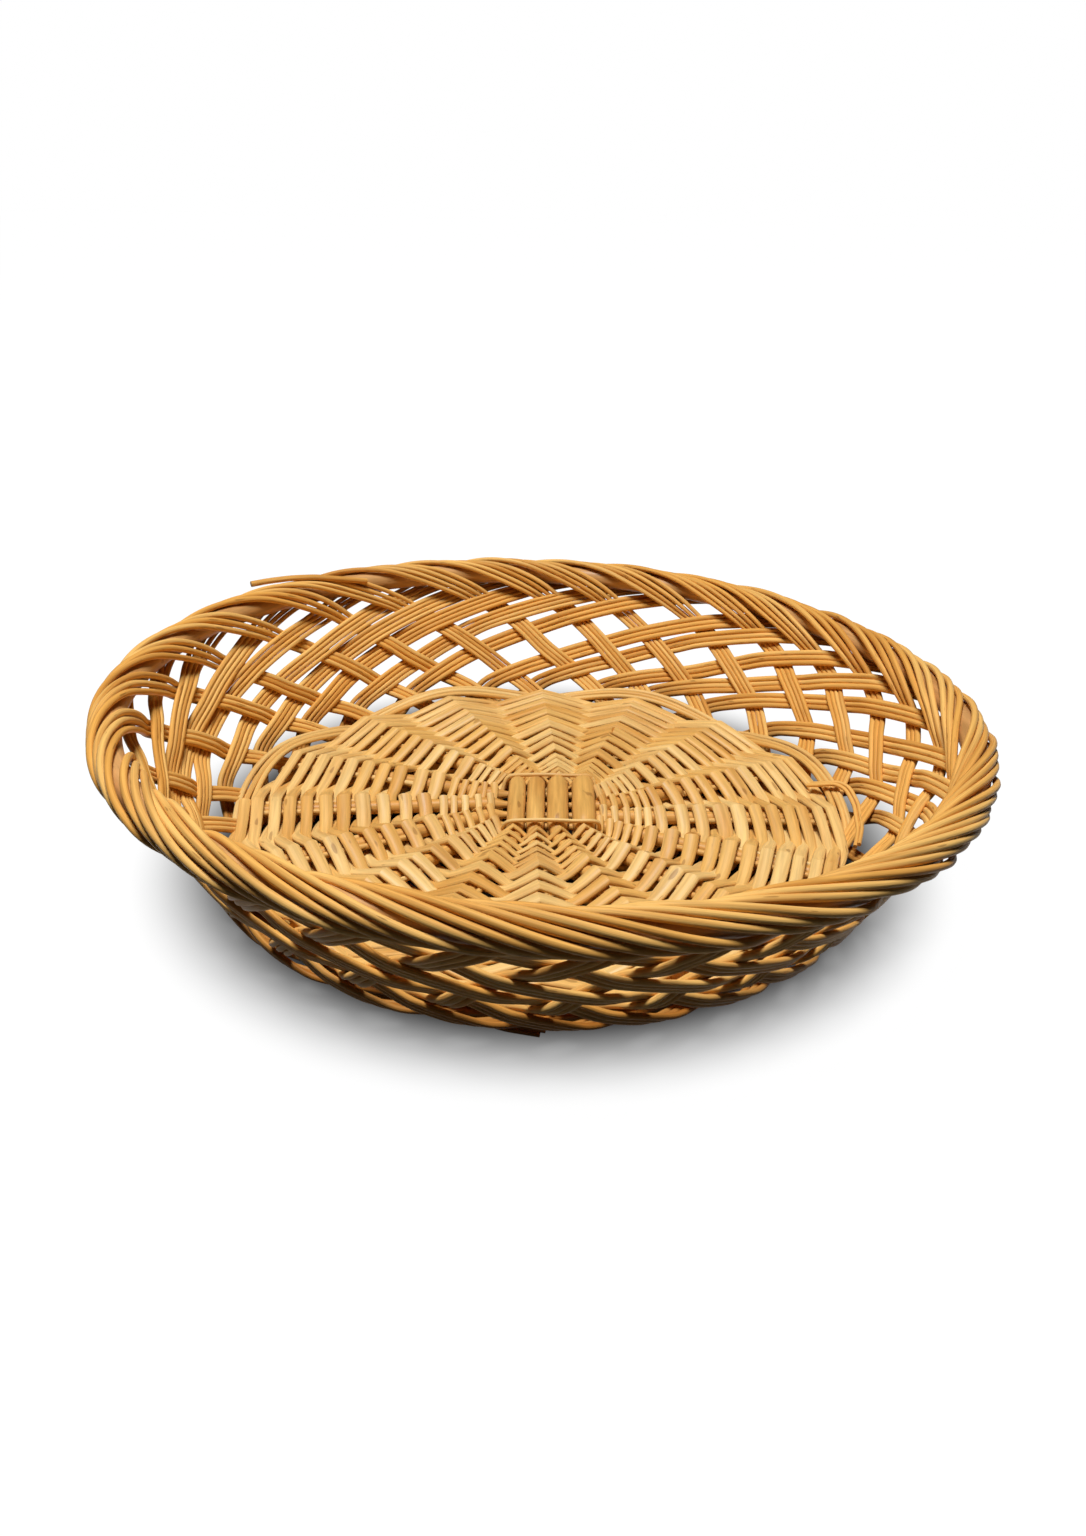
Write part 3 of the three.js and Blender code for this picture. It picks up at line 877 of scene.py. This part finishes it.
def makeEdge():  # three thin rods side by side are laid over every other ray along the back edge
    chance = random.Random(37)
    half = edgeRods["half"]
    rods = []
    for ray in edgeRods["over"]:
        for k in range(edgeRods["rods"]):
            points = []
            for step in range(29):
                t = mix(-half, half, step / 28)
                z = edgeRods["high"] + k * edgeRods["climb"]
                z += edgeRods["wave"] * math.cos(math.pi * t / half)
                z -= 2.5 * ease((abs(t) - 0.85) / 0.3)  # the ends go down
                r = edgeRods["inner"] + k * edgeRods["step"] - 1.6 * t * t
                r += 0.4 * math.sin(3 * t + ray + 2 * k)
                points.append(polar(r, rayAngle(ray + t), base["height"] + z))
            thick = edgeRods["radius"] * chance.uniform(0.9, 1.1)
            rods.append(newRod(relax(points, 2), thick, chance.random()))
    finishPiece(layRods("baseEdge", rods, 10), weaverReed, "weaver_reed")
    print("base edge worked")


makeEdge()

binding = {
    "radius": 0.78,
    "reach": 18.4,
    "over": 5.9,
    "under": -3.6,
    "ends": ((18.3, 16.2), (15, 15), (16.2, 18.3), (15, 15)),  # how far it runs on each side
}


def makeBinding():
    corners = []
    reach = binding["reach"]
    for quarter in range(4):  # over the slit sticks, under the arms of the others
        z = binding["over"] if quarter % 2 == 0 else binding["under"]
        side = Matrix.Rotation(math.radians(base["fan"] + 90 * quarter), 3, "Z")
        first, last = binding["ends"][quarter]
        for x in (first, 9, 3, -3, -9, -last):
            arch = 0.2 * math.cos(x * 2 * math.pi / base["pitch"] + math.pi)
            up = Vector((0, 0, base["height"] + z + arch))
            corners.append(settle(side @ Vector((x, reach, 0)) + up))
    loop = evenly(corners + corners[:1], 1.5)[:-1]
    rods = [newRod(relax(loop, 4, True), binding["radius"], 0.8, True)]
    finishPiece(layRods("slathBinding", rods), weaverReed, "weaver_reed", "slath_binding")
    print("binding tied")


makeBinding()

inserted = {"radius": 1.1, "from": (50, 74), "to": 113.4, "bend": 106.0, "high": 0.9}


def makeInserted():
    chance = random.Random(53)
    rods = []
    for n in range(base["rays"]):
        for side in (-1, 1):
            begin = chance.uniform(*inserted["from"])
            a = math.radians(rayAngle(n))
            out = Vector((math.cos(a), math.sin(a), 0))
            across = Vector((-math.sin(a), math.cos(a), 0))
            points = []
            for k in range(22):
                r = mix(begin, inserted["to"], k / 21)
                uneven = 0.3 * math.sin(r * 0.09 + n) * (r > 70)
                beside = armRadius(r) + inserted["radius"] + 0.1 + uneven
                low = max(0, r - inserted["bend"]) ** 1.5 * 0.22  # down behind the edge
                up = Vector((0, 0, base["height"] + inserted["high"] - low))
                points.append(settle(out * r + across * side * beside + up))
            rods.append(newRod(points, inserted["radius"], chance.random()))
    finishPiece(layRods("insertedEnds", rods, 8), weaverReed, "wall_reed")
    print("stake ends laid in beside the rays")


makeInserted()

looseEnds = {
    "rimEnd": ((124, 155, 7.2), (129, 132, 7.5), (133, 108, 7.9), (137, 84, 8.3),
               (140.5, 60, 9.3), (143, 46, 10.6)),  # degrees, turn and distance from the hoop
    "rimThick": 1.25,
    "edgeEnd": ((104, 24, 19), (108.7, 21.7, 20.4), (114.2, 20.8, 21.6), (118, 18, 20.6),
                (119.6, 8.5, 18.4), (118, -6.8, 16.4), (114.8, -17.1, 15.2)),
    "edgeThick": 0.8,
    "footEnd": ((107, 252, 7.5), (110.2, 259, 5.4), (111.4, 265, 3.4), (111.2, 270.5, 1.7)),
    "footThick": 1.1,
    "step": 1.2,
}


def looseRun(spots):
    return relax(evenly(spots, looseEnds["step"]), 4)


def makeLooseEnds():  # cut ends that stick out where a rod was finished off
    rim = [rollSpot(*spot) for spot in looseEnds["rimEnd"]]
    rods = [newRod(looseRun(rim), looseEnds["rimThick"], 0.35)]
    for side in (-0.75, 0.75):
        edge = [Vector(spot) + Vector((side, side * 0.3, side * 0.4)) for spot in looseEnds["edgeEnd"]]
        rods.append(newRod(looseRun(edge), looseEnds["edgeThick"], 0.6 + side * 0.2))
    for side in (-1.1, 1.1):
        foot = [polar(r - side * 0.3, a + side * 0.4, z + abs(side) * 0.2 + side * 0.5)
                for r, a, z in looseEnds["footEnd"]]
        # the cut ends at the foot get the painted shade at its darkest
        rods.append(newRod(looseRun(foot), looseEnds["footThick"], 0.2, footshade=1))
    finishPiece(layRods("looseEnds", rods, 10), wallReed, "wall_reed")
    print("loose ends left standing")


makeLooseEnds()


# floor, light and camera

studio = {
    "floorSize": 8.0,
    "floorGrey": (0.04, 0.04, 0.04, 1),
    "keyPower": 17.6,
    "keySize": 0.42,
    "keyPlace": (-0.12, -0.16, 1.25),
    "fill": 0.017,
    "shadeTo": 0.114,  # painted shadow: the floor's white glow is left out round the basket up to here
    "paperFrom": 0.158,
    "shadeMiddle": (0.0, 0.014, 0.0),
}


def makeStudio():
    bpy.ops.object.select_all(action="DESELECT")
    bpy.ops.mesh.primitive_plane_add(size=studio["floorSize"], location=(0, 0, 0))
    floor = bpy.context.object
    floor.name = "floor"
    paper = bpy.data.materials.new("whitePaper")
    paper.use_nodes = True
    tree = paper.node_tree
    tree.nodes.clear()
    out = addNode(tree, "ShaderNodeOutputMaterial", (600, 0))
    matt = addNode(tree, "ShaderNodeBsdfDiffuse", (0, 100))
    matt.inputs["Color"].default_value = studio["floorGrey"]
    glow = addNode(tree, "ShaderNodeEmission", (0, -100))
    glow.inputs["Color"].default_value = (1, 1, 1, 1)
    rays = addNode(tree, "ShaderNodeLightPath", (-800, -100)).outputs
    seen = mathNode(tree, (-600, -100), "MAXIMUM", rays["Is Camera Ray"], rays["Is Glossy Ray"])
    seen = mathNode(tree, (-450, -100), "MAXIMUM", seen, rays["Is Transmission Ray"])
    # painted shadow: the white glow fades in with distance from a middle set a little behind the basket
    where = addNode(tree, "ShaderNodeTexCoord", (-800, -400))
    far = addNode(tree, "ShaderNodeVectorMath", (-600, -400), operation="DISTANCE")
    tree.links.new(where.outputs["Object"], far.inputs[0])
    far.inputs[1].default_value = studio["shadeMiddle"]
    edges = (studio["shadeTo"], studio["paperFrom"])
    bright = mapNode(tree, (-450, -400), far.outputs["Value"], *edges, 0.0, 1.0)
    bright.node.interpolation_type = "SMOOTHSTEP"
    tree.links.new(mathNode(tree, (-200, -100), "MULTIPLY", seen, bright), glow.inputs["Strength"])
    both = addNode(tree, "ShaderNodeAddShader", (300, 0))
    tree.links.new(matt.outputs[0], both.inputs[0])
    tree.links.new(glow.outputs[0], both.inputs[1])
    tree.links.new(both.outputs[0], out.inputs["Surface"])
    floor.data.materials.append(paper)

    world = bpy.context.scene.world or bpy.data.worlds.new("studioAir")
    bpy.context.scene.world = world
    world.use_nodes = True
    tree = world.node_tree
    air = tree.nodes["Background"]
    air.inputs["Color"].default_value = (1, 1, 1, 1)
    rays = addNode(tree, "ShaderNodeLightPath", (-800, 0)).outputs
    seen = mathNode(tree, (-600, 0), "MAXIMUM", rays["Is Camera Ray"], rays["Is Transmission Ray"])
    strength = mapNode(tree, (-300, 0), seen, 0, 1, studio["fill"], 1.0)
    tree.links.new(strength, air.inputs["Strength"])

    bpy.ops.object.light_add(type="AREA", location=studio["keyPlace"])
    key = bpy.context.object
    key.data.shape = "DISK"
    key.data.size = studio["keySize"]
    key.data.energy = studio["keyPower"]
    key.rotation_euler = Vector(studio["keyPlace"]).to_track_quat("Z", "Y").to_euler()
    print("studio lit")


makeStudio()

photoView = {
    "elevation": 26.61,
    "distance": 469.74,
    "target": (0, 0, 35.0),
    "roll": 1.03,
    "picture": (1086, 1536),  # pixels, as are the next two
    "focal": 1267.76,
    "middle": (544.29, 770.54),
    "sensor": 36.0,
}


def makeCamera():
    e, r = math.radians(photoView["elevation"]), math.radians(photoView["roll"])
    back = Vector((0, -math.cos(e), math.sin(e)))
    right, up = Vector((1, 0, 0)), Vector((0, math.sin(e), math.cos(e)))
    x = right * math.cos(r) + up * math.sin(r)
    y = up * math.cos(r) - right * math.sin(r)
    bpy.ops.object.select_all(action="DESELECT")
    bpy.ops.object.camera_add()
    camera = bpy.context.object
    place = (Vector(photoView["target"]) + back * photoView["distance"]) * mm
    camera.matrix_world = Matrix.Translation(place) @ Matrix((x, y, back)).transposed().to_4x4()
    lens = camera.data
    wide, tall = photoView["picture"]
    lens.sensor_width = photoView["sensor"]
    lens.lens = photoView["sensor"] * photoView["focal"] / tall
    lens.shift_x = (wide / 2 - photoView["middle"][0]) / tall
    lens.shift_y = (photoView["middle"][1] - tall / 2) / tall
    lens.clip_start = 0.01
    bpy.context.scene.camera = camera
    print("camera set")


makeCamera()
bpy.context.scene.view_settings.view_transform = "Standard"
